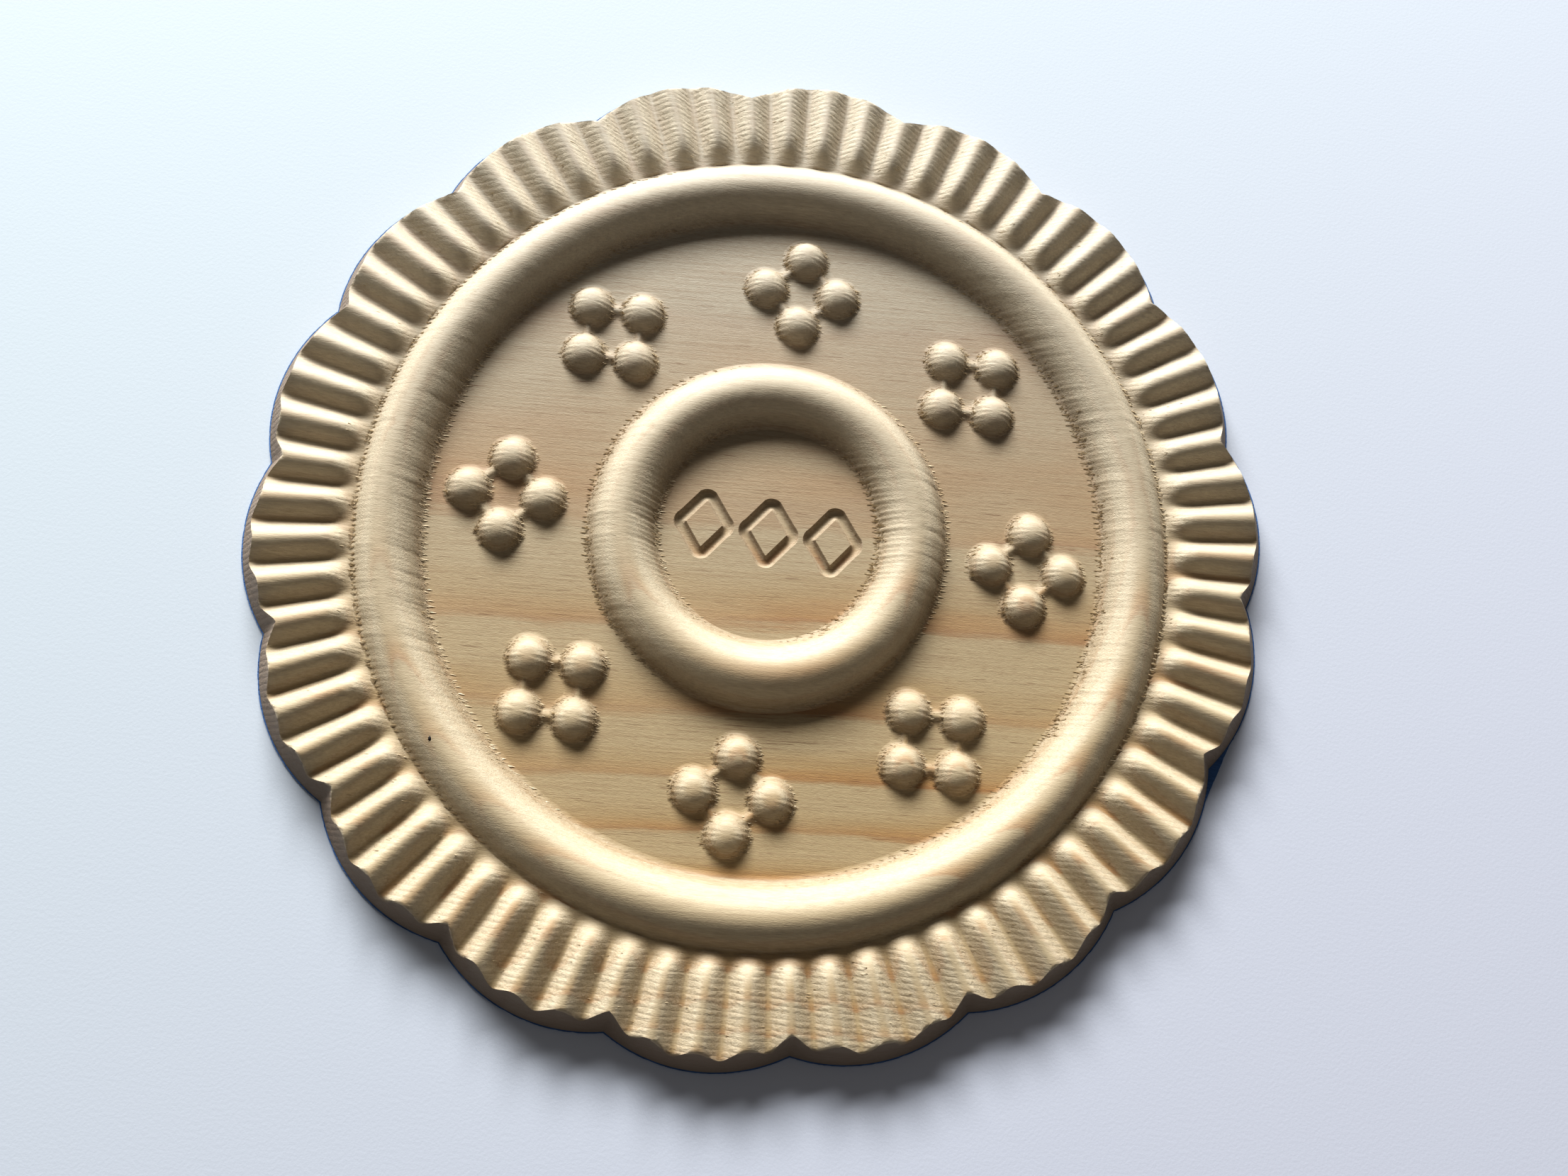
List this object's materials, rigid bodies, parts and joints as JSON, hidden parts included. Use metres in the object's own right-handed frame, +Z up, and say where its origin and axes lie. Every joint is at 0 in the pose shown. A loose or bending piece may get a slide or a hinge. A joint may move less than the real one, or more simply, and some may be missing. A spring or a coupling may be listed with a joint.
{
  "type": "carved wooden cookie",
  "caption": "Round cookie carved from pale pine, with a scalloped fluted rim, raised rings, clusters of round dots and small engraved lozenges, on a thin blue sheet.",
  "frame": {"origin": "on the surface that the cookie lies on, under the middle of its pattern", "axes": "+Z up out of the carved face, +X along the grain, +Y towards the dot cluster shown at the top of the picture"},
  "size_m": [0.1944, 0.1964, 0.0092],
  "materials": {
    "pine": "bare, as carved",
    "blue_sheet": "matte"
  },
  "bodies": {
    "root": {"cookie": "pine", "backing_sheet": "blue_sheet"}
  },
  "joints": []
}
